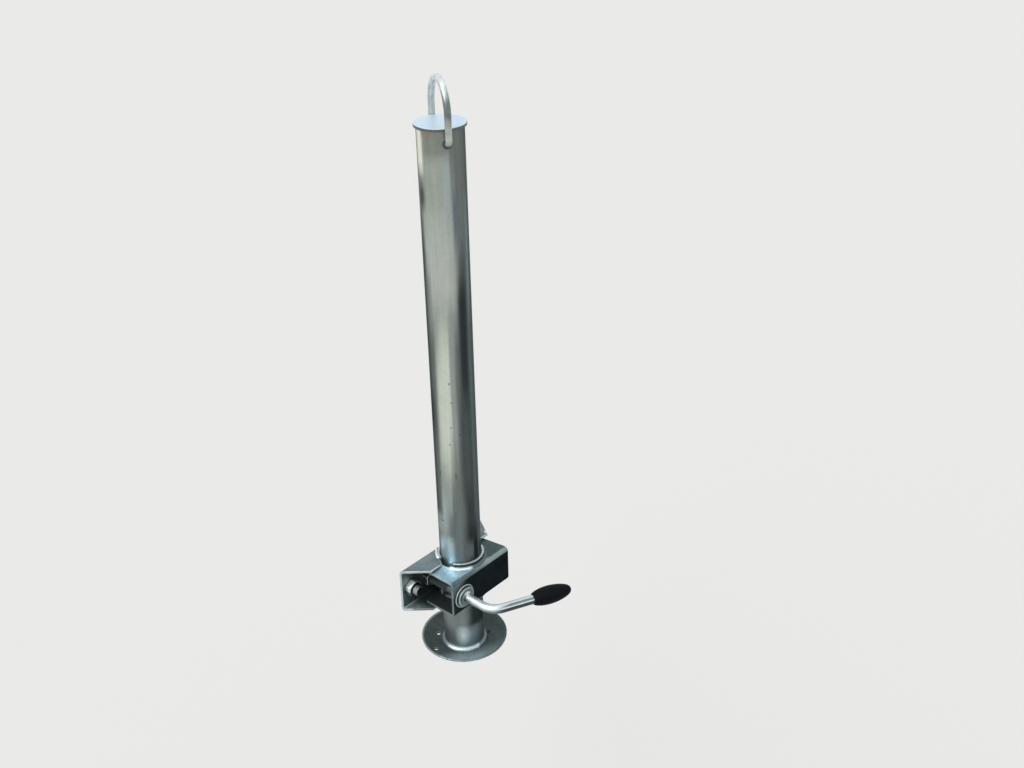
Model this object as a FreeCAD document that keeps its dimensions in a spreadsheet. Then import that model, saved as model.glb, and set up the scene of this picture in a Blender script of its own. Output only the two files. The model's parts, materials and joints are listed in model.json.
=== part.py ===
import FreeCAD
import Part
import math
import os
import Sketcher

# Prop stand of a light trailer, with the clamp holder that carries it. Millimetres.
# A round leg slides up and down through the clamp. The clamp is a flanged bracket bolted to the
# trailer's beam, with two curved cheeks that the leg rests in, and a flanged jaw in front of it
# that swings on a pin at its far end. A lever screw at its near end pulls it against the leg.
# The origin is on the bracket's back face, which bears on the beam, level with the leg's axis.
# +X points away from the beam, +Y runs along the bracket and +Z is up. The leg is raised.

SIZES = {
    # the leg and its cap
    "tube_diameter": 48.3,
    "tube_wall": 3.0,
    "tube_length": 636.9,
    "foot_drop": 99.0,           # the clamp's middle down to the tube's lower end
    "cap_diameter": 53.2,
    "cap_thickness": 3.0,
    "cap_edge": 0.8,
    "cap_spigot_depth": 8.0,
    "cap_spigot_wall": 2.0,
    "cap_fit": 0.2,
    # the bail, a rod bent to a loop, its ends turned into the tube
    "bail_rod": 7.0,
    "bail_width": 60.8,          # between the middles of its two sides
    "bail_side": 12.2,           # straight side above the cap, up to the half round
    "bail_drop": 15.5,           # the cap's top down to the holes in the tube
    "bail_bend": 6.5,
    "bail_reach": 1.5,           # how far the ends stand inside the tube
    "bail_fit": 0.1,
    "bail_turn": -30.3,          # angle of the loop about the leg, from +X
    # the foot, a shallow dish welded under the tube
    "foot_diameter": 103.3,
    "foot_sheet": 3.0,
    "foot_rise": 7.2,
    "foot_flat": 56.0,
    "foot_weld_leg": 4.8,
    "drain_diameter": 5.0,
    "drain_inset": 10.0,         # the foot's rim in to the drain hole's middle
    "drain_turn": -102.0,
    "vent_diameter": 4.5,
    "vent_inset": 19.0,
    "vent_turn": -149.0,
    # the bracket and the two curved cheeks behind the leg
    "bracket_near_end": 72.9,    # from the leg's axis to the end by the lever, towards -Y
    "bracket_far_end": 61.9,
    "bracket_height": 56.8,
    "bracket_depth": 28.5,
    "bracket_sheet": 3.0,
    "bracket_bend": 2.0,
    "near_corner_cut": 23.2,     # how much that end of a flange's front edge is shortened
    "far_corner_cut": 15.7,
    "notch_mouth": 63.4,         # width of the notch at the flange's front edge
    "notch_flare_angle": 107.0,  # where the notch leaves the cheek for its wider mouth
    "mount_hole": 13.0,
    "bolt_inset": 13.4,          # the bracket's end in to the bolt hole's middle
    "web_gap": 1.0,               # between the bracket's web and the leg
    "cheek_start_angle": 109.0,
    "cheek_sweep_angle": 46.0,
    # the jaw, its half round shell and the pin it swings on
    "jaw_near_end": 48.3,
    "jaw_far_end": 46.6,
    "jaw_far_taper": 7.0,        # how much shorter the far end is at the jaw's mouth
    "jaw_depth": 44.7,
    "jaw_sheet": 3.0,
    "jaw_bend": 2.5,
    "jaw_reach": 33.0,           # the leg's axis out to the jaw's front face
    "nest_gap": 1.6,             # between the bracket's flange and the jaw's inside it
    "shell_wall": 3.0,
    "shell_fit": 0.35,
    "shell_start_angle": -65.5,
    "shell_sweep_angle": 131.0,
    "shell_overhang": 5.8,
    "shell_weld_leg": 4.0,
    "weld_wrap_angle": 6.0,      # how far the weld runs on past the shell's ends
    "seam_gap": 0.05,
    "pin_diameter": 7.0,
    "pin_fit": 0.1,
    "pin_inset": 12.2,           # the jaw's far end in to the pin's axis
    "pin_head_diameter": 10.6,
    "pin_head_height": 2.6,
    # the lever screw and its nut
    "thread_diameter": 12.0,
    "thread_length": 36.0,
    "rod_diameter": 10.8,
    "screw_offset": 32.0,        # from the leg's axis, towards -Y
    "screw_tip": 4.5,
    "screw_hole": 13.0,
    "nut_width": 18.0,
    "nut_height": 9.5,
    "nut_chamfer": 1.0,
    "nut_fit": 0.08,
    "washer_diameter": 29.0,
    "washer_thickness": 2.5,
    "washer_fit": 0.5,
    "collar_diameter": 24.0,
    "collar_length": 2.8,
    "collar_neck_diameter": 16.0,
    "collar_neck_length": 2.2,
    "running_gap": 0.25,
    "lever_reach": 106.2,        # the beam's face out to the lever's bend
    "lever_bend_angle": 65.0,
    "lever_bend_radius": 22.0,
    "lever_arm": 98.4,           # the bend out to the grip's end
    "grip_length": 48.0,
    "grip_rim_diameter": 13.6,
    "grip_diameter": 21.4,
    "grip_crown": 22.0,          # the grip's rim out to its thickest place
    "grip_nose_diameter": 18.8,
    "grip_wall": 6.0,            # closed end of the grip beyond the rod
}

doc = FreeCAD.newDocument("prop_stand")
sheet = doc.addObject("Spreadsheet::Sheet", "sizes")
for row, (word, number) in enumerate(SIZES.items(), start=1):
    sheet.set(f"A{row}", word)
    sheet.set(f"B{row}", str(number))
    sheet.setAlias(f"B{row}", word)
doc.recompute()


class Size:
    """A number that also carries the sheet's formula for it."""

    def __init__(self, value, formula=None):
        self.value = float(value)
        self.formula = formula or repr(float(value))

    def joined(self, sign, other, value):
        return Size(value, f"({self.formula} {sign} {as_size(other).formula})")

    def __add__(self, other):
        return self.joined("+", other, self.value + as_size(other).value)

    def __sub__(self, other):
        return self.joined("-", other, self.value - as_size(other).value)

    def __mul__(self, other):
        return self.joined("*", other, self.value * as_size(other).value)

    def __truediv__(self, other):
        return self.joined("/", other, self.value / as_size(other).value)

    def __radd__(self, other):
        return as_size(other) + self

    def __rsub__(self, other):
        return as_size(other) - self

    def __rmul__(self, other):
        return as_size(other) * self

    def __neg__(self):
        return Size(-self.value, f"(0 - {self.formula})")


def as_size(thing):
    return thing if isinstance(thing, Size) else Size(thing)


def size(word):
    return Size(sheet.get(word), f"sizes.{word}")


def root(thing):
    return Size(math.sqrt(thing.value), f"sqrt({thing.formula})")


def cosine(angle):
    return Size(math.cos(math.radians(angle.value)), f"cos({angle.formula})")


def sine(angle):
    return Size(math.sin(math.radians(angle.value)), f"sin({angle.formula})")


def half_tangent(angle):
    return Size(math.tan(math.radians(angle.value / 2)), f"tan({angle.formula} / 2)")


def bind(thing, path, amount):
    thing.setExpression(path, as_size(amount).formula)


# Places that several pieces share, worked out from the sheet.
LEG_X = size("bracket_sheet") + size("web_gap") + size("tube_diameter") / 2
TUBE_R = size("tube_diameter") / 2
BORE_R = TUBE_R - size("tube_wall")
TUBE_TOP = size("tube_length") - size("foot_drop")
CAP_TOP = TUBE_TOP + size("cap_thickness")
BAIL_Z = CAP_TOP - size("bail_drop")
JAW_FRONT = LEG_X + size("jaw_reach")
JAW_MOUTH = JAW_FRONT - size("jaw_depth")
JAW_HEIGHT = size("bracket_height") - (size("bracket_sheet") + size("nest_gap")) * 2
SHELL_IN = TUBE_R + size("shell_fit")
SHELL_OUT = SHELL_IN + size("shell_wall")
SHELL_HALF = JAW_HEIGHT / 2 + size("shell_overhang")
NOTCH_R = SHELL_OUT + size("seam_gap")
PIN_X = (JAW_MOUTH + size("bracket_depth")) / 2
PIN_Y = size("jaw_far_end") - size("pin_inset")
SCREW_Y = -size("screw_offset")
WASHER_FACE = JAW_FRONT + size("running_gap")
COLLAR_FACE = WASHER_FACE + size("washer_thickness") + size("running_gap")


def new_body(name, at=(0, 0, 0), turn=None):
    """A body at a place, turned about Z."""
    body = doc.addObject("PartDesign::Body", name)
    body.Label = name
    for axis, amount in zip("xyz", at):
        bind(body, f"Placement.Base.{axis}", amount)
    if turn is not None:
        body.Placement = FreeCAD.Placement(FreeCAD.Vector(0, 0, 0), FreeCAD.Rotation(0, 0, 1, 0))
        bind(body, "Placement.Rotation.Angle", turn)
    return body


def new_sketch(body, name, plane, lift=None):
    """An empty sketch on one of the body's own planes, lifted along the plane's normal."""
    sketch = body.newObject("Sketcher::SketchObject", name)
    role = f"{plane}_Plane"
    origin_plane = [part for part in body.Origin.OriginFeatures if part.Role == role][0]
    sketch.AttachmentSupport = [(origin_plane, "")]
    sketch.MapMode = "FlatFace"
    if lift is not None:
        bind(sketch, "AttachmentOffset.Base.z", lift)
    return sketch


def hold(sketch, kind, where, amount):
    """One constraint whose value follows the sheet."""
    amount = as_size(amount)
    index = sketch.addConstraint(Sketcher.Constraint(kind, *where, amount.value))
    if "sizes." in amount.formula:
        bind(sketch, f"Constraints[{index}]", amount)


def hold_point(sketch, shape, corner, place):
    hold(sketch, "DistanceX", (-1, 1, shape, corner), place[0])
    hold(sketch, "DistanceY", (-1, 1, shape, corner), place[1])


def draw_circle(sketch, centre, radius):
    middle = FreeCAD.Vector(as_size(centre[0]).value, as_size(centre[1]).value, 0)
    circle = sketch.addGeometry(Part.Circle(middle, FreeCAD.Vector(0, 0, 1), radius.value), False)
    hold(sketch, "Radius", (circle,), radius)
    hold_point(sketch, circle, 3, centre)


def arc_between(start, end, radius, side):
    """The shorter arc between two points; side is 1 where it bulges to the right of the chord."""
    chord = end - start
    middle = (start + end) / 2
    across = FreeCAD.Vector(-chord.y, chord.x, 0).normalize()
    rise = math.sqrt(max(radius ** 2 - (chord.Length / 2) ** 2, 0.0))
    centre = middle + across * (rise * side)
    crown = centre + (middle - across * side * 1e-6 - centre).normalize() * radius
    return Part.Arc(start, crown, end)


def draw_outline(sketch, corners, closed=True):
    """Lines and arcs from corner to corner.

    A corner is (x, y), or (x, y, radius, side) where an arc of that radius leads to the next
    corner. Side 1 bulges to the right of the way to that corner, and side -1 to the left.
    """
    points = []
    for corner in corners:
        points.append(FreeCAD.Vector(as_size(corner[0]).value, as_size(corner[1]).value, 0))
    count = len(corners)
    last = count if closed else count - 1
    shapes = []
    ends = []
    for index in range(last):
        corner = corners[index]
        start = points[index]
        end = points[(index + 1) % count]
        if len(corner) == 2:
            shapes.append(sketch.addGeometry(Part.LineSegment(start, end), False))
            ends.append((1, 2))
            continue
        radius, side = corner[2:]
        shapes.append(sketch.addGeometry(arc_between(start, end, radius.value, side), False))
        hold(sketch, "Radius", (shapes[-1],), radius)
        ends.append((1, 2) if side == 1 else (2, 1))
    for index in range(last):
        hold_point(sketch, shapes[index], ends[index][0], corners[index])
        following = (index + 1) % count
        if following < last:
            join = (shapes[index], ends[index][1], shapes[following], ends[following][0])
            sketch.addConstraint(Sketcher.Constraint("Coincident", *join))
        else:
            hold_point(sketch, shapes[index], ends[index][1], corners[following])


def pad(body, name, sketch, length, symmetric=False, reverse=False):
    feature = body.newObject("PartDesign::Pad", name)
    feature.Profile = sketch
    feature.SideType = "Symmetric" if symmetric else "One side"
    feature.Reversed = reverse
    bind(feature, "Length", length)
    return feature


def cut_through(body, name, sketch, symmetric=True, reverse=False):
    """A pocket through all the material; it must take some away."""
    before = body.Tip
    feature = body.newObject("PartDesign::Pocket", name)
    feature.Profile = sketch
    feature.Type = "ThroughAll"
    feature.SideType = "Symmetric" if symmetric else "One side"
    feature.Reversed = reverse
    doc.recompute()
    if feature.Shape.Volume > before.Shape.Volume - 1e-3:
        raise ValueError(f"{name} cuts nothing")
    return feature


def revolve(body, name, sketch, angle=360.0):
    feature = body.newObject("PartDesign::Revolution", name)
    feature.Profile = sketch
    feature.ReferenceAxis = (sketch, ["V_Axis"])
    bind(feature, "Angle", angle)
    return feature


def sweep(body, name, section, path):
    feature = body.newObject("PartDesign::AdditivePipe", name)
    feature.Profile = section
    feature.Spine = path
    return feature


def round_edges(body, name, radius, chosen):
    """A fillet on the edges of the body's last feature that pass the test."""
    doc.recompute()
    base = body.Tip
    names = [f"Edge{i}" for i, edge in enumerate(base.Shape.Edges, start=1) if chosen(edge)]
    if not names:
        raise ValueError(f"{name} finds no edge")
    feature = body.newObject("PartDesign::Fillet", name)
    feature.Base = (base, names)
    bind(feature, "Radius", radius)
    return feature


def edge_along_y(x, z):
    """A test for the long straight edges at one height and depth, above and below."""
    def passes(edge):
        box = edge.BoundBox
        straight = box.XLength < 1e-4 and box.ZLength < 1e-4
        return straight and abs(box.XMin - x) < 1e-3 and abs(abs(box.ZMin) - z) < 1e-3
    return passes


def flanged_plate(name, near, far, height, depth, wall, bend, back, forward):
    """A sheet bent to a channel along Y: a web at X = back and two flanges, rounded at the bends.

    It runs from Y = -near to Y = far. The flanges point to +X where forward is 1, and to -X
    where it is -1.
    """
    body = new_body(name)
    section = new_sketch(body, f"{name}_section", "XZ", (near - far) / 2)
    tip = back + depth * forward
    inside = back + wall * forward
    half = height / 2
    clear = half - wall
    draw_outline(section, [
        (back, -half), (tip, -half), (tip, -clear), (inside, -clear),
        (inside, clear), (tip, clear), (tip, half), (back, half),
    ])
    pad(body, f"{name}_channel", section, near + far, symmetric=True)
    round_edges(body, f"{name}_inner_bends", bend, edge_along_y(inside.value, clear.value))
    outer = edge_along_y(as_size(back).value, half.value)
    round_edges(body, f"{name}_outer_bends", bend + wall, outer)
    return body


def cut_pin_hole(body):
    """The hole for the hinge pin, through both flanges."""
    hole = new_sketch(body, f"{body.Name}_pin_outline", "XY")
    draw_circle(hole, (PIN_X, PIN_Y), size("pin_diameter") / 2 + size("pin_fit"))
    cut_through(body, f"{body.Name}_pin_hole", hole)


def make_bracket():
    """The bracket: a channel with its corners cut off, notched round the leg, with its holes."""
    near = size("bracket_near_end")
    far = size("bracket_far_end")
    depth = size("bracket_depth")
    wall = size("bracket_sheet")
    body = flanged_plate("mounting_bracket", near, far, size("bracket_height"), depth, wall,
                         size("bracket_bend"), Size(0), 1)
    corners = new_sketch(body, "bracket_corner_cuts", "XY")
    draw_outline(corners, [
        (depth, size("near_corner_cut") - near), (depth, -near), (wall, -near),
    ])
    draw_outline(corners, [
        (depth, far - size("far_corner_cut")), (depth, far), (wall, far),
    ])
    cut_through(body, "bracket_corners", corners)
    notch = new_sketch(body, "bracket_notch_outline", "XY")
    turn = size("notch_flare_angle")
    flare_x = LEG_X + NOTCH_R * cosine(turn)
    flare_y = NOTCH_R * sine(turn)
    heel_x = LEG_X - wall
    heel_y = root(NOTCH_R * NOTCH_R - heel_x * heel_x)
    mouth = size("notch_mouth") / 2
    draw_outline(notch, [
        (depth, mouth), (flare_x, flare_y, NOTCH_R, 1), (wall, heel_y), (wall, -heel_y, NOTCH_R, 1),
        (flare_x, -flare_y), (depth, -mouth),
    ])
    cut_through(body, "bracket_notch", notch)
    holes = new_sketch(body, "bracket_holes", "YZ")
    for middle in (size("bolt_inset") - near, far - size("bolt_inset")):
        draw_circle(holes, (middle, 0), size("mount_hole") / 2)
    cut_through(body, "bracket_bolt_holes", holes)
    cut_pin_hole(body)
    return body


def make_jaw():
    """The jaw: a smaller channel that faces the bracket, open to the leg and bored for the screw."""
    far = size("jaw_far_end")
    body = flanged_plate("clamp_jaw", size("jaw_near_end"), far, JAW_HEIGHT, size("jaw_depth"),
                         size("jaw_sheet"), size("jaw_bend"), JAW_FRONT, -1)
    taper = new_sketch(body, "jaw_taper_outline", "XY")
    draw_outline(taper, [
        (JAW_MOUTH, far - size("jaw_far_taper")), (JAW_FRONT, far), (JAW_MOUTH, far),
    ])
    cut_through(body, "jaw_taper", taper)
    notch = new_sketch(body, "jaw_notch_outline", "XY")
    draw_outline(notch, [
        (JAW_MOUTH, -NOTCH_R), (LEG_X, -NOTCH_R, NOTCH_R, 1), (LEG_X + NOTCH_R, 0, NOTCH_R, 1),
        (LEG_X, NOTCH_R), (JAW_MOUTH, NOTCH_R),
    ])
    cut_through(body, "jaw_notch", notch)
    hole = new_sketch(body, "jaw_screw_hole", "YZ")
    draw_circle(hole, (SCREW_Y, 0), size("screw_hole") / 2)
    cut_through(body, "jaw_screw_bore", hole)
    cut_pin_hole(body)
    return body


def wrapped(name, start, sweep_angle, corners):
    """A section turned about the leg's axis; corners are (radius, height)."""
    body = new_body(name, (LEG_X, 0, 0), start)
    section = new_sketch(body, f"{name}_section", "XZ")
    draw_outline(section, corners)
    revolve(body, f"{name}_wrap", section, sweep_angle)
    return body


def sleeve_section():
    return [
        (SHELL_IN, -SHELL_HALF), (SHELL_OUT, -SHELL_HALF), (SHELL_OUT, SHELL_HALF),
        (SHELL_IN, SHELL_HALF),
    ]


def make_shell():
    """The half round shell that the jaw presses on the leg."""
    return wrapped("clamp_shell", size("shell_start_angle"), size("shell_sweep_angle"),
                   sleeve_section())


def make_cheek(name, side):
    """A curved cheek in the bracket's notches, which the leg rests in."""
    start = size("cheek_start_angle") * side
    if side == -1:
        start = start - size("cheek_sweep_angle")
    return wrapped(name, start, size("cheek_sweep_angle"), sleeve_section())


def make_shell_weld(name, side):
    """The weld round the shell, on the jaw's top face or under its bottom face."""
    leg = size("shell_weld_leg")
    face = JAW_HEIGHT / 2 * side
    wrap = size("weld_wrap_angle")
    return wrapped(name, size("shell_start_angle") - wrap, size("shell_sweep_angle") + wrap * 2, [
        (NOTCH_R, face), (NOTCH_R + leg, face), (NOTCH_R, face + leg * side),
    ])


def make_pin():
    """The pin that the jaw swings on: a rivet through all four flanges, with two round heads."""
    body = new_body("hinge_pin", (PIN_X, PIN_Y, 0))
    section = new_sketch(body, "pin_section", "XZ")
    shank = size("pin_diameter") / 2
    rim = size("pin_head_diameter") / 2
    face = size("bracket_height") / 2
    rise = size("pin_head_height")
    dome = (rim * rim + rise * rise) / (rise * 2)
    draw_outline(section, [
        (0, -face - rise, dome, 1), (rim, -face), (shank, -face), (shank, face), (rim, face, dome, 1),
        (0, face + rise),
    ])
    revolve(body, "pin_turned", section)
    return body


def make_nut():
    """The hexagon nut on the bracket's inner face that the lever screw turns in."""
    body = new_body("screw_nut", (size("bracket_sheet"), SCREW_Y, 0))
    section = new_sketch(body, "nut_section", "YZ")
    flat = size("nut_width") / 2
    corner = size("nut_width") / root(Size(3))
    hexagon = []
    for across, up in ((0, 1), (1, 0.5), (1, -0.5), (0, -1), (-1, -0.5), (-1, 0.5)):
        hexagon.append((flat * across, corner * up))
    draw_outline(section, hexagon)
    draw_circle(section, (0, 0), size("thread_diameter") / 2 + size("nut_fit"))
    pad(body, "nut_prism", section, size("nut_height"))
    crown = new_sketch(body, "nut_crown", "XY")
    groove = body.newObject("PartDesign::Groove", "nut_chamfer")
    top = size("nut_height")
    chamfer = size("nut_chamfer")
    draw_outline(crown, [
        (top - chamfer, corner), (top, corner), (top, corner - chamfer * 2),
    ])
    groove.Profile = crown
    groove.ReferenceAxis = (crown, ["H_Axis"])
    groove.Angle = 360
    return body


def make_tube():
    """The leg's tube, with the two holes that the bail's ends go into."""
    body = new_body("leg_tube", (LEG_X, 0, 0), size("bail_turn"))
    ring = new_sketch(body, "tube_ring", "XY", -size("foot_drop"))
    draw_circle(ring, (0, 0), TUBE_R)
    draw_circle(ring, (0, 0), BORE_R)
    pad(body, "tube_wall", ring, size("tube_length"))
    holes = new_sketch(body, "tube_bail_holes", "YZ")
    draw_circle(holes, (0, BAIL_Z), size("bail_rod") / 2 + size("bail_fit"))
    cut_through(body, "tube_bail_bores", holes)
    return body


def make_cap():
    """The cap: a disc over the tube's upper end with a spigot inside it."""
    body = new_body("end_cap", (LEG_X, 0, 0))
    section = new_sketch(body, "cap_section", "XZ")
    edge = size("cap_diameter") / 2
    soft = size("cap_edge")
    spigot = BORE_R - size("cap_fit")
    foot = TUBE_TOP - size("cap_spigot_depth")
    draw_outline(section, [
        (0, TUBE_TOP), (spigot - size("cap_spigot_wall"), TUBE_TOP),
        (spigot - size("cap_spigot_wall"), foot), (spigot, foot), (spigot, TUBE_TOP),
        (edge, TUBE_TOP), (edge, CAP_TOP - soft, soft, 1), (edge - soft, CAP_TOP), (0, CAP_TOP),
    ])
    revolve(body, "cap_turned", section)
    return body


def make_bail():
    """The bail: one rod bent to a half round loop with its two ends turned inwards."""
    body = new_body("bail", (LEG_X, 0, 0), size("bail_turn"))
    half = size("bail_width") / 2
    bend = size("bail_bend")
    crown = CAP_TOP + size("bail_side")
    end = BORE_R - size("bail_reach")
    path = new_sketch(body, "bail_path", "XZ")
    draw_outline(path, [
        (end, BAIL_Z), (half - bend, BAIL_Z, bend, 1), (half, BAIL_Z + bend),
        (half, crown, half, 1), (0, crown + half, half, 1), (-half, crown),
        (-half, BAIL_Z + bend, bend, 1), (bend - half, BAIL_Z), (-end, BAIL_Z),
    ], closed=False)
    section = new_sketch(body, "bail_section", "YZ", end)
    draw_circle(section, (0, BAIL_Z), size("bail_rod") / 2)
    sweep(body, "bail_loop", section, path)
    return body


def make_foot():
    """The foot: a round dish with its rim up, with a drain hole and a vent hole."""
    body = new_body("foot_plate", (LEG_X, 0, 0))
    section = new_sketch(body, "foot_section", "XZ")
    sheet_wall = size("foot_sheet")
    top = -size("foot_drop")
    rim = size("foot_diameter") / 2
    flat = size("foot_flat") / 2
    rise = size("foot_rise")
    run = rim - flat
    curve = (run * run + rise * rise) / (rise * 2)
    draw_outline(section, [
        (0, top - sheet_wall), (flat, top - sheet_wall, curve, 1), (rim, top - sheet_wall + rise),
        (rim, top + rise, curve, -1), (flat, top), (0, top),
    ])
    revolve(body, "foot_dish", section)
    holes = new_sketch(body, "foot_holes", "XY")
    for word in ("drain", "vent"):
        turn = size(f"{word}_turn")
        place = rim - size(f"{word}_inset")
        middle = (place * cosine(turn), place * sine(turn))
        draw_circle(holes, middle, size(f"{word}_diameter") / 2)
    cut_through(body, "foot_drain_holes", holes)
    return body


def make_foot_weld():
    """The weld round the tube on the foot's upper face."""
    body = new_body("foot_weld", (LEG_X, 0, 0))
    section = new_sketch(body, "foot_weld_section", "XZ")
    inside = TUBE_R + size("seam_gap")
    leg = size("foot_weld_leg")
    top = -size("foot_drop")
    draw_outline(section, [
        (inside, top), (inside + leg, top), (inside, top + leg),
    ])
    revolve(body, "foot_weld_bead", section)
    return body


def make_lever_rod():
    """The lever screw: a threaded end, a straight rod, then an arm bent sideways to the grip."""
    body = new_body("lever_rod", (0, SCREW_Y, 0))
    bend = size("lever_bend_angle")
    radius = size("lever_bend_radius")
    vertex = size("lever_reach")
    setback = radius * half_tangent(bend)
    reach = size("lever_arm") - size("grip_wall")
    tip = size("screw_tip")
    path = new_sketch(body, "lever_path", "XY")
    draw_outline(path, [
        (tip, 0), (vertex - setback, 0, radius, 1),
        (vertex + setback * cosine(bend), setback * sine(bend)),
        (vertex + reach * cosine(bend), reach * sine(bend)),
    ], closed=False)
    section = new_sketch(body, "lever_section", "YZ", tip)
    draw_circle(section, (0, 0), size("rod_diameter") / 2)
    sweep(body, "lever_bar", section, path)
    thread = new_sketch(body, "thread_section", "YZ", tip)
    draw_circle(thread, (0, 0), size("thread_diameter") / 2)
    pad(body, "lever_thread", thread, size("thread_length"))
    return body


def turned_along_x(name, at, corners):
    """A ring turned about the screw's axis; corners are (along the axis, radius)."""
    body = new_body(name, at)
    section = new_sketch(body, f"{name}_section", "XY")
    draw_outline(section, corners)
    feature = body.newObject("PartDesign::Revolution", f"{name}_turned")
    feature.Profile = section
    feature.ReferenceAxis = (section, ["H_Axis"])
    feature.Angle = 360
    return body


def make_washer():
    """The loose washer between the jaw and the lever's collar."""
    bore = size("thread_diameter") / 2 + size("washer_fit")
    rim = size("washer_diameter") / 2
    thick = size("washer_thickness")
    return turned_along_x("thrust_washer", (WASHER_FACE, SCREW_Y, 0), [
        (0, bore), (thick, bore), (thick, rim), (0, rim),
    ])


def make_collar():
    """The collar welded on the lever screw, with the weld as a smaller neck in front."""
    bore = size("rod_diameter") / 2 + size("seam_gap")
    rim = size("collar_diameter") / 2
    neck = size("collar_neck_diameter") / 2
    length = size("collar_length")
    full = length + size("collar_neck_length")
    return turned_along_x("lever_collar", (COLLAR_FACE, SCREW_Y, 0), [
        (0, bore), (full, bore), (full, neck), (length, neck), (length, rim), (0, rim),
    ])


def make_grip():
    """The moulded grip: a barrel that swells from its rim to a crown and ends in a round nose."""
    bend = size("lever_bend_angle")
    length = size("grip_length")
    start = size("lever_arm") - length
    place = (size("lever_reach") + start * cosine(bend), SCREW_Y + start * sine(bend), 0)
    body = new_body("lever_grip", place, bend)
    section = new_sketch(body, "grip_section", "XY")
    bore = size("rod_diameter") / 2 + size("seam_gap")
    deep = length - size("grip_wall")
    rim = size("grip_rim_diameter") / 2
    crown = size("grip_diameter") / 2
    crown_at = size("grip_crown")
    nose = size("grip_nose_diameter") / 2
    nose_at = length - nose
    # Both flanks are arcs that lie along the rod at the crown, and the front one runs smoothly
    # into the round nose.
    back_arc = (crown_at * crown_at + (crown - rim) * (crown - rim)) / ((crown - rim) * 2)
    run = nose_at - crown_at
    front_arc = (run * run / (crown - nose) + nose + crown) / 2
    lean = nose / (front_arc - nose)
    draw_outline(section, [
        (0, bore), (deep, bore), (deep, 0), (length, 0, nose, 1),
        (nose_at + run * lean, (front_arc - crown) * lean, front_arc, 1),
        (crown_at, crown, back_arc, 1), (0, rim),
    ])
    feature = body.newObject("PartDesign::Revolution", "grip_moulded")
    feature.Profile = section
    feature.ReferenceAxis = (section, ["H_Axis"])
    feature.Angle = 360
    return body


bodies = [
    make_bracket(),
    make_jaw(),
    make_shell(),
    make_shell_weld("shell_weld_top", 1),
    make_shell_weld("shell_weld_bottom", -1),
    make_cheek("near_cheek", -1),
    make_cheek("far_cheek", 1),
    make_pin(),
    make_nut(),
    make_tube(),
    make_cap(),
    make_bail(),
    make_foot(),
    make_foot_weld(),
    make_lever_rod(),
    make_washer(),
    make_collar(),
    make_grip(),
]
doc.recompute()

for thing in doc.Objects:
    if "Invalid" in thing.State or "Error" in thing.State:
        raise ValueError(f"{thing.Label} failed: {thing.State}")
os.makedirs("parts", exist_ok=True)
for body in bodies:
    shape = body.Shape
    if shape.isNull() or not shape.isValid():
        raise ValueError(f"{body.Label} has no valid shape")
    shape.exportStep(f"parts/{body.Label}.step")
    box = shape.BoundBox
    print(f"{body.Label}: {len(shape.Solids)} solid, {shape.Volume:.0f} mm3, "
          f"x {box.XMin:.1f} {box.XMax:.1f}, y {box.YMin:.1f} {box.YMax:.1f}, "
          f"z {box.ZMin:.1f} {box.ZMax:.1f}")
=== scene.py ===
import json
import math

import bpy
from mathutils import Matrix, Vector

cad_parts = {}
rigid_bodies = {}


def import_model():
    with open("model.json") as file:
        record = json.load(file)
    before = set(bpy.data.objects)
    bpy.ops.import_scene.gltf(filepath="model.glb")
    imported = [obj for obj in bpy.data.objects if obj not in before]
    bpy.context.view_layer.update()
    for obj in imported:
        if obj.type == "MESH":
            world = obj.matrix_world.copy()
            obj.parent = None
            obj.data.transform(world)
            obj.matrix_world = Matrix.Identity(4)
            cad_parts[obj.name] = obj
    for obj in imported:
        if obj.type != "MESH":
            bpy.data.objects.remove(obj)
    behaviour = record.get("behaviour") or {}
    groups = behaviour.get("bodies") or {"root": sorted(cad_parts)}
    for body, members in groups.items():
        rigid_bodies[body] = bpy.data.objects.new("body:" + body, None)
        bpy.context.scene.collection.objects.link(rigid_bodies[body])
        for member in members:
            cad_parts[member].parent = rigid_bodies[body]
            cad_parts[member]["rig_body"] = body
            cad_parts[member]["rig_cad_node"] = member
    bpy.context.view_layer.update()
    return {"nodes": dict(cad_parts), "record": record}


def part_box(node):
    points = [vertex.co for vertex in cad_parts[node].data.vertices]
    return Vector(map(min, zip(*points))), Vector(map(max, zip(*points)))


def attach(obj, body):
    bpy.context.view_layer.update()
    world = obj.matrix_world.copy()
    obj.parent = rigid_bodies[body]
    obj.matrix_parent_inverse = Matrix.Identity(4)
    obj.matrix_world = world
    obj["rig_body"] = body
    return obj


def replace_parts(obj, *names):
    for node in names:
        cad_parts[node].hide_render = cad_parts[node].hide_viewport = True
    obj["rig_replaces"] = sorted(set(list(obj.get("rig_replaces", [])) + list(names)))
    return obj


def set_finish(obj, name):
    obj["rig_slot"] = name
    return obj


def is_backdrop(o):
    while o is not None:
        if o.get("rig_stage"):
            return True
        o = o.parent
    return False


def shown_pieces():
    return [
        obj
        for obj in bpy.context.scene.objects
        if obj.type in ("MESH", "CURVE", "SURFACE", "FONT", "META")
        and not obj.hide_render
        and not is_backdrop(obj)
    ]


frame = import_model()

bl_info = {
    "name": "Prop Stand With Clamp Holder",
    "version": (1, 0, 0),
    "blender": (4, 5, 0),
    "location": "View3D > Sidebar > Prop Stand",
    "description": "Thread, fasteners, welds and zinc finishes of a trailer prop stand",
    "category": "Object",
}

MM = 0.001

# Points nearer than TOUCHING are one, what stands past a box by more than LEVEL is flattened,
# and a gap of EASE keeps a bead off its wall.
TOUCHING, LEVEL, EASE = 1e-6, 1e-7, 0.05 * MM

# The camera of the photo: its place in metres, and its turn, tilt and lean in degrees.
CAMERA_PLACE = (0.84851, -0.81484, 0.87639)
CAMERA_TURN, CAMERA_TILT, CAMERA_LEAN = 42.0, 28.5, 1.24

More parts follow.
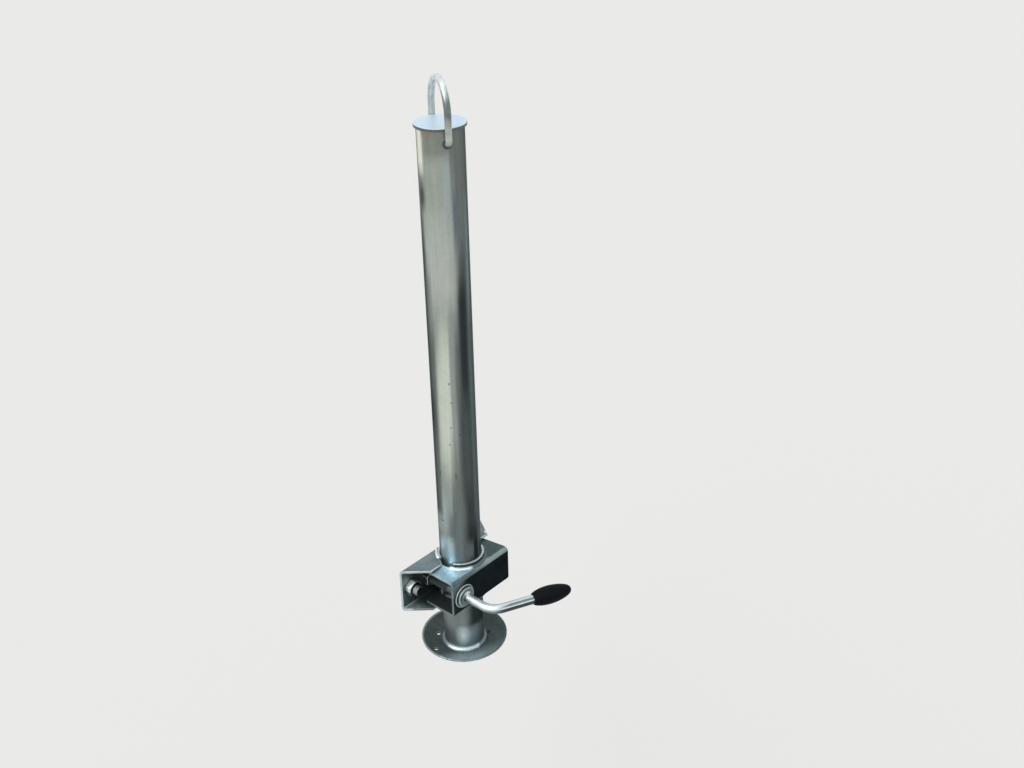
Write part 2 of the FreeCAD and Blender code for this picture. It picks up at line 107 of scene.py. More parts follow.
# How bright floor and sky are where the camera sees them, whatever light they give.
FLOOR_SHOWN = (0.4, 0.4, 0.4)
SKY_SHOWN = 0.92

# The tint of zinc seen at a flat angle.
EDGE_TINT = (0.30, 0.33, 0.34, 1.0)

# The outline of the moulded grip: shares of its length and of its greatest radius.
GRIP_OUTLINE = (
    (0.006, 0.63), (0.02, 0.68), (0.05, 0.74), (0.10, 0.82), (0.17, 0.90), (0.25, 0.96),
    (0.33, 0.992), (0.41, 1.0), (0.50, 0.985), (0.59, 0.945), (0.68, 0.88), (0.76, 0.80),
    (0.83, 0.705), (0.89, 0.60), (0.935, 0.49), (0.968, 0.36), (0.989, 0.21), (1.0, 0.0))

# One turn of a rolled thread: shares of the pitch, and whether the crest or the root is there.
THREAD_OUTLINE = ((0.0, 0), (0.11, 0), (0.43, 1), (0.57, 1), (0.89, 0), (1.0, 0))
THREAD_STEPS = 28

# How round a weld bead is, from 0 for flat to 1 for a full quarter round.
FULLNESS = 0.75

# Edges that turn by more degrees than this are rounded. The bracket needs the higher limit,
# because its slanted corners would grow spikes.
EDGE_ANGLE, BRACKET_EDGE_ANGLE = 50.0, 62.0

# The point of a bolt: how long it tapers, and to what share of its width. The barrel that cuts
# it is a little wider than the bolt.
POINT_LENGTH, TAPER, WIDER = 1.1 * MM, 0.8, 1.001

# Places that the solids give, in metres.
TUBE_LOW, TUBE_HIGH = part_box("leg_tube")
LEG_X = (TUBE_LOW.x + TUBE_HIGH.x) / 2
TUBE_R = (TUBE_HIGH.x - TUBE_LOW.x) / 2
BRACKET_LOW, BRACKET_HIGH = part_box("mounting_bracket")
JAW_LOW, JAW_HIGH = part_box("clamp_jaw")
SHELL_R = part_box("clamp_shell")[1].x - LEG_X
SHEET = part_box("screw_nut")[0].x
SCREW_Y = (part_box("screw_nut")[0].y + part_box("screw_nut")[1].y) / 2
FOOT_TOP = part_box("foot_weld")[0].z


def amount_of(label, words, default, **settings):
    return bpy.props.FloatProperty(name=label, description=words, default=default, **settings)


def length_of(label, words, default):
    """A length that the user can change, in millimetres here and in metres in Blender."""
    return amount_of(label, words, default * MM, min=0.0, precision=5, unit="LENGTH")


def colour_of(label, words, default):
    return bpy.props.FloatVectorProperty(
        name=label, description=words, default=default, size=3, min=0.0, max=1.0, subtype="COLOR")


class ScrewSizes(bpy.types.PropertyGroup):
    """The lever screw and its thread."""
    major: length_of("Thread diameter", "Diameter over the thread's crests", 12)
    pitch: length_of("Pitch", "Distance from one crest to the next", 1.75)
    depth: length_of("Thread depth", "Crest down to root", 1.05)
    run: length_of("Threaded length", "Length of the thread from the screw's tip", 36)
    rod: length_of("Rod diameter", "Diameter of the plain lever", 10.8)
    bend_radius: length_of("Bend radius", "Radius of the lever's bend, at the rod's middle", 22)
    bend: amount_of("Bend", "How far the lever's arm turns aside", math.radians(65.0),
                    subtype="ANGLE")
    corner: length_of("Corner", "Beam's face out to the corner of the bend", 106.2)
    arm: length_of("Arm", "Corner of the bend out to the rod's end in the grip", 92.4)


class GripSizes(bpy.types.PropertyGroup):
    """The moulded grip on the lever."""
    length: length_of("Grip length", "Rim of the grip out to its nose", 48)
    rim: length_of("Rim", "Diameter of the grip's rim", 13.4)
    crown: length_of("Crown", "Diameter at the thickest place", 21.4)
    bore: length_of("Bore", "Diameter of the hole for the rod", 10.9)
    cover: length_of("Cover", "Thickness of the grip beyond the rod's end", 5.8)


class FastenerSizes(bpy.types.PropertyGroup):
    """The two nuts and bolt ends that hold the bracket on its beam."""
    across: length_of("Nut width", "Across the nut's flats", 17.6)
    height: length_of("Nut height", "Height of the nut", 8.6)
    bevel: length_of("Nut bevel", "Height of the bevel round the nut's corners", 1.3)
    stub: length_of("Bolt end", "How far the bolt stands out of the nut", 7)
    inset: length_of("Inset", "Bracket's end in to the bolt's axis", 13.4)


class EdgeSizes(bpy.types.PropertyGroup):
    """The small rounds on the edges of sheet and turned pieces."""
    sheet: length_of("Sheet edges", "Round on the cut edges of the folded sheet", 0.7)
    turned: length_of("Turned edges", "Round on the edges of washer, collar, nut and pin", 0.6)
    rim: length_of("Foot rim", "Round on the foot plate's edge", 0.9)


class WeldSizes(bpy.types.PropertyGroup):
    """The weld beads and their ripple."""
    clamp_width: length_of("Clamp bead width", "Width of the bead round the clamp's shell", 3.5)
    clamp_height: length_of("Clamp bead height", "How far that bead stands up the shell", 1.8)
    clamp_depth: length_of("Clamp bead depth", "How far it reaches down over the jaw's bend", 2.7)
    foot_width: length_of("Foot bead", "Width of the bead round the foot of the tube", 4)
    cheek_width: length_of("Cheek bead", "Width of the short beads beside the cheeks", 2.4)
    ripple: length_of("Ripple", "Distance from one ripple to the next", 2.1)
    swell: length_of("Swell", "How much each ripple stands up", 0.09)


class ZincColours(bpy.types.PropertyGroup):
    """Colours of the finishes; front, cut, foot, shade and cap are painted light and shade."""
    sheet: colour_of("Sheet", "Dulled zinc on folded sheet", (0.175, 0.212, 0.218))
    # front: a painted dark reflection on the clamp's front face.
    front: colour_of("Front", "Dark zinc on the clamp's front face", (0.0170, 0.0215, 0.0240))
    # cut: the painted highlight on the cut edges.
    cut: colour_of("Cut edges", "Bare, bright cut edges", (0.60, 0.68, 0.69))
    # foot: painted shade over the whole foot plate.
    foot: colour_of("Foot", "Dull zinc on the foot plate", (0.052, 0.066, 0.060))
    plated: colour_of("Plated steel", "Bright zinc plating", (0.70, 0.79, 0.81))
    # shade: painted shade on the lever's underside.
    shade: colour_of("Plated underside", "Dull zinc plating underneath", (0.055, 0.070, 0.074))
    # cap: a pale bluish painted sky reflection on the cap's top.
    cap: colour_of("Cap", "Pale zinc on the end cap", (0.66, 0.80, 0.92))
    grip: colour_of("Grip", "Moulded grip", (0.0035, 0.0048, 0.0056))


class StageSettings(bpy.types.PropertyGroup):
    """Floor, light and camera."""
    floor: colour_of("Floor", "Plain pale floor", (0.78, 0.78, 0.77))
    drop: length_of("Floor depth", "Origin down to the floor", 592)
    key: amount_of("Key light", "Strength of the soft light from the left", 1.5, min=0)
    fill: amount_of("Sky", "Strength of the even light from all sides", 0.55, min=0)
    lens: amount_of("Lens", "Focal length of the camera", 42.61, min=1, unit="CAMERA")


# Modelling by hand: one piece at a time, in edit mode.


def direction(turn, rise=0.0):
    """A unit vector, turned about the Z axis and raised, both in radians."""
    flat = math.cos(rise)
    return Vector((math.cos(turn) * flat, math.sin(turn) * flat, math.sin(rise)))


def deselect_all():
    if bpy.context.object and bpy.context.object.mode != "OBJECT":
        bpy.ops.object.mode_set(mode="OBJECT")
    bpy.ops.object.select_all(action="DESELECT")


def take(piece):
    """Selects one piece alone, in object mode."""
    deselect_all()
    piece.select_set(True)
    bpy.context.view_layer.objects.active = piece


def select_whole():
    bpy.ops.mesh.select_all(action="SELECT")


def merge_close(distance=TOUCHING):
    select_whole()
    bpy.ops.mesh.remove_doubles(threshold=distance)


def push(*way):
    """Extrudes what is selected."""
    bpy.ops.mesh.extrude_region_move(TRANSFORM_OT_translate={"value": way})


def rename(piece, name):
    piece.name = piece.data.name = name


def add_piece(name, add, **settings):
    """A primitive, alone in the selection, with its place in its mesh."""
    deselect_all()
    add(**settings)
    piece = bpy.context.object
    rename(piece, name)
    bpy.ops.object.transform_apply(location=True, rotation=True, scale=True)
    return piece


def add_barrel(name, sides, radius, depth, x, y):
    """A round or many-sided bar along X, given by its middle."""
    return add_piece(name, bpy.ops.mesh.primitive_cylinder_add, vertices=sides, radius=radius,
                     depth=depth, location=(x, y, 0), rotation=(0, math.pi / 2, 0))


def edit(piece):
    """Enters edit mode with the whole of one piece selected."""
    take(piece)
    bpy.ops.object.mode_set(mode="EDIT")
    select_whole()


def choose(piece, test, kind="VERT"):
    """Stays in edit mode, with the vertices or faces selected that pass the test."""
    edit(piece)
    bpy.ops.mesh.select_mode(type=kind)
    bpy.ops.mesh.select_all(action="DESELECT")
    bpy.ops.object.mode_set(mode="OBJECT")
    items = piece.data.vertices if kind == "VERT" else piece.data.polygons
    for item in items:
        item.select = bool(test(item))
    if not any(item.select for item in items):
        raise RuntimeError(f"nothing to select on {piece.name}")
    bpy.ops.object.mode_set(mode="EDIT")


def draw_line(name, points, closed=False):
    """A chain of edges, drawn from one vertex by extruding it from point to point."""
    piece = add_piece(name, bpy.ops.mesh.primitive_plane_add, size=0.001, location=points[0])
    edit(piece)
    bpy.ops.mesh.select_mode(type="VERT")
    bpy.ops.mesh.merge(type="CENTER")
    for here, there in zip(points, points[1:]):
        bpy.ops.mesh.extrude_vertices_move(
            TRANSFORM_OT_translate={"value": Vector(there) - Vector(here)})
    if closed:
        ends = (Vector(points[0]), Vector(points[-1]))
        choose(piece, lambda v: min((v.co - end).length for end in ends) < TOUCHING)
        bpy.ops.mesh.edge_face_add()
    select_whole()
    return piece


def apply_modifier(piece, name, kind, **settings):
    take(piece)
    modifier = piece.modifiers.new(name, kind)
    for key, value in settings.items():
        setattr(modifier, key, value)
    bpy.ops.object.modifier_apply(modifier=modifier.name)


def combine(piece, other, operation):
    """Joins, cuts or intersects a piece with another one, which is used up."""
    apply_modifier(piece, operation.title(), "BOOLEAN",
                   object=other, operation=operation, solver="EXACT")
    bpy.data.objects.remove(other)


def close_ends(piece):
    """Fills every open loop with a face and turns all faces outwards."""
    edit(piece)
    bpy.ops.mesh.select_mode(type="EDGE")
    bpy.ops.mesh.select_all(action="DESELECT")
    bpy.ops.mesh.select_non_manifold()
    bpy.ops.mesh.fill_holes(sides=0)
    select_whole()
    bpy.ops.mesh.normals_make_consistent(inside=False)
    bpy.ops.object.mode_set(mode="OBJECT")


def smooth(piece, angle=35.0):
    take(piece)
    bpy.ops.object.shade_smooth_by_angle(angle=math.radians(angle))


def twin(piece, name, shift=(0, 0, 0), flip=(1, 1, 1)):
    """A copy with its own mesh, moved or mirrored."""
    take(piece)
    bpy.ops.object.duplicate(linked=False)
    made = bpy.context.object
    rename(made, name)
    edit(made)
    bpy.ops.transform.translate(value=shift)
    if flip != (1, 1, 1):
        bpy.ops.transform.resize(value=flip, center_override=(0, 0, 0))
        bpy.ops.mesh.normals_make_consistent(inside=False)
    bpy.ops.object.mode_set(mode="OBJECT")
    return made


def level_past_box(piece, node):
    """Flattens what stands past the solid's box onto the box."""
    for axis in range(3):
        for end, way in zip(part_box(node), (-1, 1)):
            def past(v):
                return (v.co[axis] - end[axis]) * way > LEVEL
            if any(past(v) for v in piece.data.vertices):
                choose(piece, past)
                flat = tuple(float(place != axis) for place in range(3))
                bpy.ops.transform.resize(value=flat, center_override=tuple(end))
                deselect_all()


def rounded(node, width, highlit=None, limit=EDGE_ANGLE, dull=None):
    """A solid's shape with its sharp edges rounded; the attribute "bare" marks faces for a
    painted highlight.
    """
    piece = twin(frame["nodes"][node], f"{node}_edged")
    for key in [key for key in piece.keys() if key.startswith("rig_")]:
        del piece[key]
    edit(piece)
    merge_close()
    bpy.ops.mesh.customdata_custom_splitnormals_clear()
    bpy.ops.mesh.dissolve_limited(angle_limit=math.radians(0.6))
    merge_close(0.3 * MM)
    smooth(piece, 30.0)
    mesh = piece.data
    mesh.materials.clear()
    for _ in range(2):
        mesh.materials.append(None)
    apply_modifier(piece, "Edges", "BEVEL", width=width, segments=2, limit_method="ANGLE",
                   angle_limit=math.radians(limit), use_clamp_overlap=False, material=1)
    level_past_box(piece, node)
    apply_modifier(piece, "Level Faces", "WEIGHTED_NORMAL", mode="FACE_AREA", weight=80,
                   keep_sharp=False)
    # Marked faces, the rounded edges and those that pass the test, get a painted highlight.
    marks = mesh.attributes.new("highlit", "FLOAT", "FACE")
    for face in mesh.polygons:
        cut = face.material_index == 1 or highlit is not None and highlit(face)
        marks.data[face.index].value = 0.0 if dull is not None and dull(face) else float(cut)
        face.material_index = 0
    return piece


def seat(piece, body, slot, *nodes):
    """The piece rides on a body, takes a finish and may stand for solids."""
    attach(piece, body)
    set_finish(piece, slot)
    if nodes:
        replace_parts(piece, *nodes)


def cut_thread(name, start, length, screw, y):
    """A closed rod along X with the screw's thread, which begins at start."""
    pitch = screw.pitch
    root = y + screw.major / 2 - screw.depth
    piece = draw_line(name, [(start - pitch + share * pitch, root + rise * screw.depth, 0)
                             for share, rise in THREAD_OUTLINE])
    take(piece)
    bpy.context.scene.cursor.location = (0.0, y, 0.0)
    bpy.ops.object.origin_set(type="ORIGIN_CURSOR")
    apply_modifier(piece, "Thread", "SCREW", axis="X", angle=math.tau, screw_offset=pitch,
                   iterations=math.ceil(length / pitch) + 2, steps=THREAD_STEPS,
                   render_steps=THREAD_STEPS, use_smooth_shade=False)
    bpy.ops.object.transform_apply(location=True, rotation=True, scale=True)
    bpy.context.scene.cursor.location = (0.0, 0.0, 0.0)
    edit(piece)
    merge_close()
    for end, way in ((start, -1), (start + length, 1)):
        select_whole()
        bpy.ops.mesh.bisect(plane_co=(end, 0, 0), plane_no=(way, 0, 0), use_fill=True,
                            clear_outer=True)
    close_ends(piece)
    return piece


# The pieces.


class PROPSTAND_OT_lever_screw(bpy.types.Operator):
    """Model the lever screw with its rolled thread and bent arm"""
    bl_idname = "prop_stand.lever_screw"
    bl_label = "Lever Screw"

    def execute(self, context):
        s = context.scene.prop_stand_screw
        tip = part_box("lever_rod")[0].x
        # The plain rod begins a little way inside the thread.
        root = tip + s.run - 0.5 * MM
        piece = add_piece("lever_screw", bpy.ops.mesh.primitive_circle_add, vertices=48,
                          radius=s.rod / 2, fill_type="NGON", location=(root, SCREW_Y, 0),
                          rotation=(0, math.pi / 2, 0))
        setback = s.bend_radius * math.tan(s.bend / 2)
        edit(piece)
        push(s.corner - setback - root, 0, 0)
        bpy.ops.mesh.spin(steps=20, angle=s.bend, axis=(0, 0, -1),
                          center=(s.corner - setback, SCREW_Y + s.bend_radius, 0))
        push(*direction(s.bend) * (s.arm - setback))
        close_ends(piece)
        combine(piece, cut_thread("thread", tip, s.run, s, SCREW_Y), "UNION")
        smooth(piece)
        seat(piece, "lever", "bright_zinc", "lever_rod")
        return {"FINISHED"}


class PROPSTAND_OT_lever_grip(bpy.types.Operator):
    """Turn the moulded grip about the lever's arm"""
    bl_idname = "prop_stand.lever_grip"
    bl_label = "Lever Grip"

    def execute(self, context):
        s = context.scene.prop_stand_grip
        screw = context.scene.prop_stand_screw
        along = direction(screw.bend)
        # The rod ends just short of the bottom of the grip's bore.
        nose = screw.arm + s.cover + 0.2 * MM
        rim = Vector((screw.corner, SCREW_Y, 0)) + along * (nose - s.length)
        deep = s.length - s.cover
        lip = 0.6 * MM
        section = [(deep, 0), (deep, s.bore / 2), (0, s.bore / 2), (0, s.rim / 2 - lip)]
        section += [(s.length * share, s.crown / 2 * part) for share, part in GRIP_OUTLINE]
        piece = draw_line("lever_grip_moulded", [rim + along * out + Vector((0, 0, radius))
                                                 for out, radius in section])
        bpy.ops.mesh.spin(steps=64, angle=math.tau, center=rim, axis=along)
        merge_close()
        bpy.ops.mesh.normals_make_consistent(inside=False)
        smooth(piece, 50.0)
        seat(piece, "lever", "black_grip", "lever_grip")
        return {"FINISHED"}


class PROPSTAND_OT_mount_fasteners(bpy.types.Operator):
    """Model one nut and bolt end, and copy them to the bracket's other hole"""
    bl_idname = "prop_stand.mount_fasteners"
    bl_label = "Mount Fasteners"

    def execute(self, context):
        s = context.scene.prop_stand_fasteners
        screw = context.scene.prop_stand_screw
        y = BRACKET_LOW.y + s.inset
        across = (0, BRACKET_HIGH.y - s.inset - y, 0)
        for piece, word in ((self.nut(s, y), "bolt_nut"), (self.bolt(s, screw, y), "bolt_end")):
            far = twin(piece, f"{word}_far", across)
            rename(piece, f"{word}_near")
            seat(piece, "holder", "bright_zinc")
            seat(far, "holder", "bright_zinc")
        return {"FINISHED"}

    def nut(self, s, y):
        corner = s.across / math.sqrt(3)
        middle = SHEET + s.height / 2
        nut = add_barrel("bolt_nut", 6, corner, s.height, middle, y)
        edit(nut)
        bpy.ops.transform.rotate(value=math.pi / 6, orient_axis="X",
                                 center_override=(middle, y, 0))
        barrel = add_barrel("nut_barrel", 96, corner * WIDER, s.height - s.bevel * 2, middle, y)
        for way in (-1, 1):
            self.taper(barrel, middle + way * (s.height / 2 - s.bevel), y, way * s.bevel)
        combine(nut, barrel, "INTERSECT")
        apply_modifier(nut, "Corners", "BEVEL", width=0.25 * MM, segments=2,
                       limit_method="ANGLE", angle_limit=math.radians(40))
        smooth(nut)
        return nut

    def bolt(self, s, screw, y):
        tip = SHEET + s.height + s.stub
        back = 0.4 * MM
        bolt = cut_thread("bolt_end", back, tip - back, screw, y)
        front = tip - POINT_LENGTH
        long = 20 * MM
        point = add_barrel("bolt_point", 64, screw.major / 2 * WIDER, long, front - long / 2, y)
        self.taper(point, front, y, POINT_LENGTH)
        combine(bolt, point, "INTERSECT")
        smooth(bolt)
        return bolt

    def taper(self, barrel, end, y, length):
        """Draws a barrel's end face out to a narrower one."""
        choose(barrel, lambda f: len(f.vertices) > 4 and abs(f.center.x - end) < 1e-5, "FACE")
        push(length, 0, 0)
        bpy.ops.transform.resize(value=(1, TAPER, TAPER), center_override=(end, y, 0))


class PROPSTAND_OT_rounded_edges(bpy.types.Operator):
    """Round the edges of the sheet and turned pieces and mark the edges that get a painted
    highlight
    """
    bl_idname = "prop_stand.rounded_edges"
    bl_label = "Rounded Edges"

    def execute(self, context):
        s = context.scene.prop_stand_edges

        # Cut edges of the folded sheet, marked for a painted highlight.
        def cut_from(inner):
            return lambda f: (abs(f.normal.z) < 0.3 and abs(f.center.z) > inner
                              or abs(f.normal.y) > 0.5)

        def inside(radius):
            return lambda f: math.hypot(f.center.y - SCREW_Y, f.center.z) < radius

        limits = {"mounting_bracket": BRACKET_EDGE_ANGLE}
        # Faces round the bore of collar and washer get no painted highlight.
        dull = {"lever_collar": inside(9.5 * MM), "thrust_washer": inside(11.5 * MM)}
        slots = {part["node"]: part["material_slot"] for part in frame["record"]["subparts"]}
        for node, width, highlit in (
                ("mounting_bracket", s.sheet, cut_from(BRACKET_HIGH.z - SHEET)),
                ("clamp_jaw", s.sheet, cut_from(JAW_HIGH.z - SHEET)),
                # The level faces of shell and cheeks are marked for a painted highlight too.
                *((node, s.sheet * 0.8, lambda f: abs(f.normal.z) > 0.5)
                  for node in ("clamp_shell", "near_cheek", "far_cheek")),
                ("hinge_pin", s.turned * 0.5, None),
                ("screw_nut", s.turned * 0.7, None),
                ("foot_plate", s.rim, None),
                ("thrust_washer", s.turned, None),
                ("lever_collar", s.turned, None)):
            piece = rounded(node, width, highlit, limits.get(node, EDGE_ANGLE), dull.get(node))
            seat(piece, frame["nodes"][node]["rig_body"], slots[node], node)
        return {"FINISHED"}


def lay_bead(name, radius, wide, high, sunk, face, start, sweep, ripple, swell, knot=None):
    """A convex weld bead about the leg's axis, on a level face and against a round wall.

    It runs from start through sweep, in degrees, and is thicker at the knot.
    """
    start, sweep = math.radians(start), math.radians(sweep)
    section = [(0.0, -sunk), (wide, -sunk)] if sunk else [(0.0, 0.0)]
    for turn in range(0, 105, 15):
        angle = math.radians(turn)
        flat = 1 / (math.cos(angle) + math.sin(angle))
        reach = flat + FULLNESS * (1 - flat)
        section.append((wide * reach * math.cos(angle), high * reach * math.sin(angle)))
    points = [(LEG_X + (radius + out) * math.cos(start), (radius + out) * math.sin(start),
               face + up) for out, up in section]
    piece = draw_line(name, points, closed=True)
    steps = 4 * max(4, round(sweep * (radius + wide / 2) / ripple))
    step = sweep / steps
    bpy.ops.mesh.spin(steps=steps, angle=sweep, center=(LEG_X, 0, 0), axis=(0, 0, -1))
    merge_close()
    close_ends(piece)

    def turn_of(v):
        return math.atan2(v.co.y, v.co.x - LEG_X)

    def ring_of(v):
        return int((turn_of(v) - start + step / 2) % math.tau / step)

    def share_of(v):
        """How far the point lies out from the wall and up from the face, as shares."""
        return (math.hypot(v.co.x - LEG_X, v.co.y) - radius) / wide, (v.co.z - face) / high

    def free(v):
        """Neither on the wall nor on the face."""
        out, up = share_of(v)
        return out > 0.06 and up > 0.06

    def fatten(amount, test):
        choose(piece, lambda v: free(v) and test(v))
        bpy.ops.transform.shrink_fatten(value=amount)

    fatten(swell, lambda v: ring_of(v) % 4 == 2)
    fatten(-swell, lambda v: ring_of(v) % 4 == 0 and 0 < ring_of(v) < steps)
    # Every fifth and seventh ripple stands higher.
    for wave in (5, 7):
        fatten(swell * 0.9, lambda v: ring_of(v) // 4 % wave == 2)
    if knot is not None:
        for near, rise in ((0.11, 0.30), (0.06, 0.35)):
            fatten(rise * MM, lambda v: abs(turn_of(v) - math.radians(knot)) < near)
    if math.tau - sweep > TOUCHING:
        # The bead thins out over three rings at either end.
        for near_end, shrink in ((0, 0.55), (1, 0.75), (2, 0.9)):
            for last in (near_end, steps - near_end):
                choose(piece, lambda v: free(v) and ring_of(v) == last)
                turn = start + sweep * last / steps
                corner = (LEG_X + radius * math.cos(turn), radius * math.sin(turn), face)
                bpy.ops.transform.resize(value=(shrink,) * 3, center_override=corner)
    # The ripples bow forward along the middle of the bead.
    for share, test in ((0.5, lambda out, up: abs(out - up) < 0.5),
                        (0.25, lambda out, up: abs(out - up) >= 0.5)):
        choose(piece, lambda v: free(v) and test(*share_of(v)))
        bpy.ops.transform.rotate(value=share * ripple / radius, orient_axis="Z",
                                 center_override=(LEG_X, 0, 0))
    smooth(piece, 60.0)
    return piece


class PROPSTAND_OT_weld_beads(bpy.types.Operator):
    """Lay the weld beads round the clamp's shell, beside the cheeks and on the foot"""
    bl_idname = "prop_stand.weld_beads"
    bl_label = "Weld Beads"

    def execute(self, context):
        s = context.scene.prop_stand_welds
        rim = SHELL_R + EASE
        bead = lay_bead("clamp_bead_top", rim, s.clamp_width, s.clamp_height, s.clamp_depth,
                        JAW_HIGH.z, -71.5, 143.0, s.ripple, s.swell)
        under = twin(bead, "clamp_bead_bottom", flip=(1, 1, -1))
        seat(bead, "holder", "weld", "shell_weld_top")
        seat(under, "holder", "weld", "shell_weld_bottom")
        short = lay_bead("cheek_bead_near_top", rim, s.cheek_width, s.cheek_width * 0.8, 0.0,
                         BRACKET_HIGH.z, -152.0, 40.0, s.ripple, s.swell)
        for word, flip in (("near_bottom", (1, 1, -1)), ("far_top", (1, -1, 1)),
                           ("far_bottom", (1, -1, -1))):
            seat(twin(short, f"cheek_bead_{word}", flip=flip), "holder", "weld")
        seat(short, "holder", "weld")
        bead = lay_bead("foot_bead", TUBE_R + EASE, s.foot_width, s.foot_width * 0.9, 0.0,
                        FOOT_TOP, 150.0, 360.0, s.ripple * 1.5, s.swell * 1.4, -16.0)
        seat(bead, "leg", "weld", "foot_weld")
        return {"FINISHED"}


# Finishes.


# The leg's axis, in millimetres, and the way the bail faces, in degrees.
LEG_CENTRE = (LEG_X / MM, 0, 0)
BAIL_TURN = -30.3


def tone(red, green, blue):
    """A colour as a screen gives it, from 0 to 255, in Blender's linear numbers."""
    return tuple(((x / 255 + 0.055) / 1.055) ** 2.4 for x in (red, green, blue))


class Wire:
    """A shader socket that Python's operators work on."""

    def __init__(self, paint, socket):
        self.paint = paint
        self.socket = socket

    def maths(self, operation, first, second):
        return self.paint.node("ShaderNodeMath", {"operation": operation}, {0: first, 1: second})

    def __add__(self, other):
        return self.maths("ADD", self, other)

    def __radd__(self, other):
        return self.maths("ADD", other, self)

    def __sub__(self, other):
        return self.maths("SUBTRACT", self, other)

    def __rsub__(self, other):
        return self.maths("SUBTRACT", other, self)

    def __mul__(self, other):
        return self.maths("MULTIPLY", self, other)

    def over(self, other):
        """The greater of the two."""
        return self.maths("MAXIMUM", self, other)

    def between(self, low, high, **settings):
        """The value's place between two levels, from 0 to 1."""
        return self.paint.node("ShaderNodeMapRange", {"clamp": True, **settings}, {
            "Value": self, "From Min": low, "From Max": high})

    def eased(self, low, high):
        """The same with soft ends."""
        return self.between(low, high, interpolation_type="SMOOTHSTEP")


class Paint:
    """The nodes of a material, or of the sky, and the colour so far that they build up."""

    def __init__(self, name, holder=None):
        self.holder = holder or bpy.data.materials.new(name)
        self.holder.use_nodes = True
        self.tree = self.holder.node_tree
        self.colour = None

    def plug(self, socket, value):
        if isinstance(value, Wire):
            self.tree.links.new(value.socket, socket)
        else:
            socket.default_value = value

    def node(self, kind, settings, inputs, output=0):
        """Any node: its settings first, then the values or wires of its sockets."""
        made = self.tree.nodes.new(kind)
        for key, value in settings.items():
            setattr(made, key, value)
        for key, value in inputs.items():
            self.plug(made.inputs[key], value)
        return Wire(self, made.outputs[output])

    def vector(self, operation, inputs, output=0):
        return self.node("ShaderNodeVectorMath", {"operation": operation}, inputs, output)

    def centred(self, centre):
        """Object coordinates, measured from a point."""
        place = self.node("ShaderNodeTexCoord", {}, {}, "Object")
        return self.vector("SUBTRACT", {0: place, 1: centre})

    def stretched(self, scale, centre=(0, 0, 0)):
        return self.vector("MULTIPLY", {0: self.centred(centre), 1: scale})

    def noise(self, scale, stretch=(1, 1, 1), detail=3.0, rough=0.55):
        return self.node("ShaderNodeTexNoise", {}, {
            "Vector": self.stretched(stretch), "Scale": scale, "Detail": detail,
            "Roughness": rough})

    def clouds(self, scale, detail=3.0):
        return self.noise(scale, detail=detail).between(0.35, 0.65)

    def cells(self, scale, stretch=(1, 1, 1)):
        """A random level for each crystal of zinc."""
        colour = self.node("ShaderNodeTexVoronoi", {}, {
            "Vector": self.stretched(stretch), "Scale": scale}, "Color")
        return self.node("ShaderNodeSeparateColor", {}, {0: colour})

    def along(self, way, centre=(0, 0, 0)):
        """The distance along a direction, in millimetres."""
        moved = self.centred(tuple(x * MM for x in centre))
        return self.vector("DOT_PRODUCT", {0: moved, 1: tuple(x / MM for x in way)}, "Value")

    def axes(self):
        """How far outwards, along the bracket and up, in millimetres from the origin."""
        return [self.along(way) for way in ((1, 0, 0), (0, 1, 0), (0, 0, 1))]

    def round_leg(self):
        """How far in front and to the right of the leg's axis, as the photo shows it."""
        return [self.along(direction(math.radians(turn)), LEG_CENTRE) for turn in (-45, 45)]

    def spot(self, centre, half, soft=0.5):
        """1 inside a small ellipsoid, given by its centre and half sizes in millimetres."""
        shape = self.stretched(tuple(1 / (x * MM) for x in half), tuple(x * MM for x in centre))
        return self.vector("LENGTH", {0: shape}, "Value").between(1.0, 1.0 - soft)

    def blend(self, factor, first, second):
        """The first colour where the factor is 0, the second where it is 1."""
        def full(colour):
            return colour if isinstance(colour, Wire) else (*tuple(colour)[:3], 1.0)
        return self.node("ShaderNodeMix", {"data_type": "RGBA"}, {
            0: factor, 6: full(first), 7: full(second)}, 2)

    def coat(self, mask, colour):
        """Lays a colour over the one so far, where the mask is 1."""
        self.colour = self.blend(mask, self.colour, colour)

    def shade(self, amount):
        """Makes the colour so far lighter or darker."""
        self.colour = self.vector("SCALE", {0: self.colour, "Scale": amount})

    def highlit(self):
        """1 on the edges that a piece marks for a painted highlight."""
        return self.node("ShaderNodeAttribute", {"attribute_name": "highlit"}, {}, "Fac")

    def seen(self):
        """1 where the camera sees it, also in a mirror or through something."""
        path = self.tree.nodes.new("ShaderNodeLightPath")
        camera, mirror, through = (Wire(self, path.outputs[f"Is {kind} Ray"])
                                   for kind in ("Camera", "Glossy", "Transmission"))
        return self.node("ShaderNodeClamp", {}, {"Value": camera + mirror + through})

    def bump(self, height, strength, distance=0.0002):
        return self.node("ShaderNodeBump", {}, {
            "Height": height, "Strength": strength, "Distance": distance})

    def finish(self, roughness, metallic, bump=None, **constants):
        """Plugs the colour so far and the other values into the material's shader."""
        values = {"Base Color": self.colour, "Roughness": roughness, "Metallic": metallic,
                  **constants}
        if bump is not None:
            values["Normal"] = bump
        for key, value in values.items():
            self.plug(self.tree.nodes["Principled BSDF"].inputs[key.replace("_", " ")], value)
        return self.holder

    def plating(self, roughness, metallic, grain, strength=0.06):
        """Thin bright plating over a very fine grain."""
        fine = self.noise(grain, detail=2.0)
        return self.finish(roughness, metallic, self.bump(fine, strength, 0.0001))

    def zinc(self, metallic=0.7, rough=0.40, grain=0.10, mottle=0.22):
        """Hot dipped zinc of the colour so far: clouds, fine crystals and a soft grain."""
        clouds = self.noise(55, detail=4.0)
        crystals = self.cells(480)
        level = (clouds * 0.8 + crystals * 0.2).between(0.28, 0.70)
        self.shade(level * (2 * mottle) + (1 - mottle))
        fine = self.noise(700, detail=2.0)
        return self.finish(rough + 0.05 - level * 0.08 + crystals * 0.04, metallic,
                           self.bump(fine, grain), Specular_Tint=EDGE_TINT)


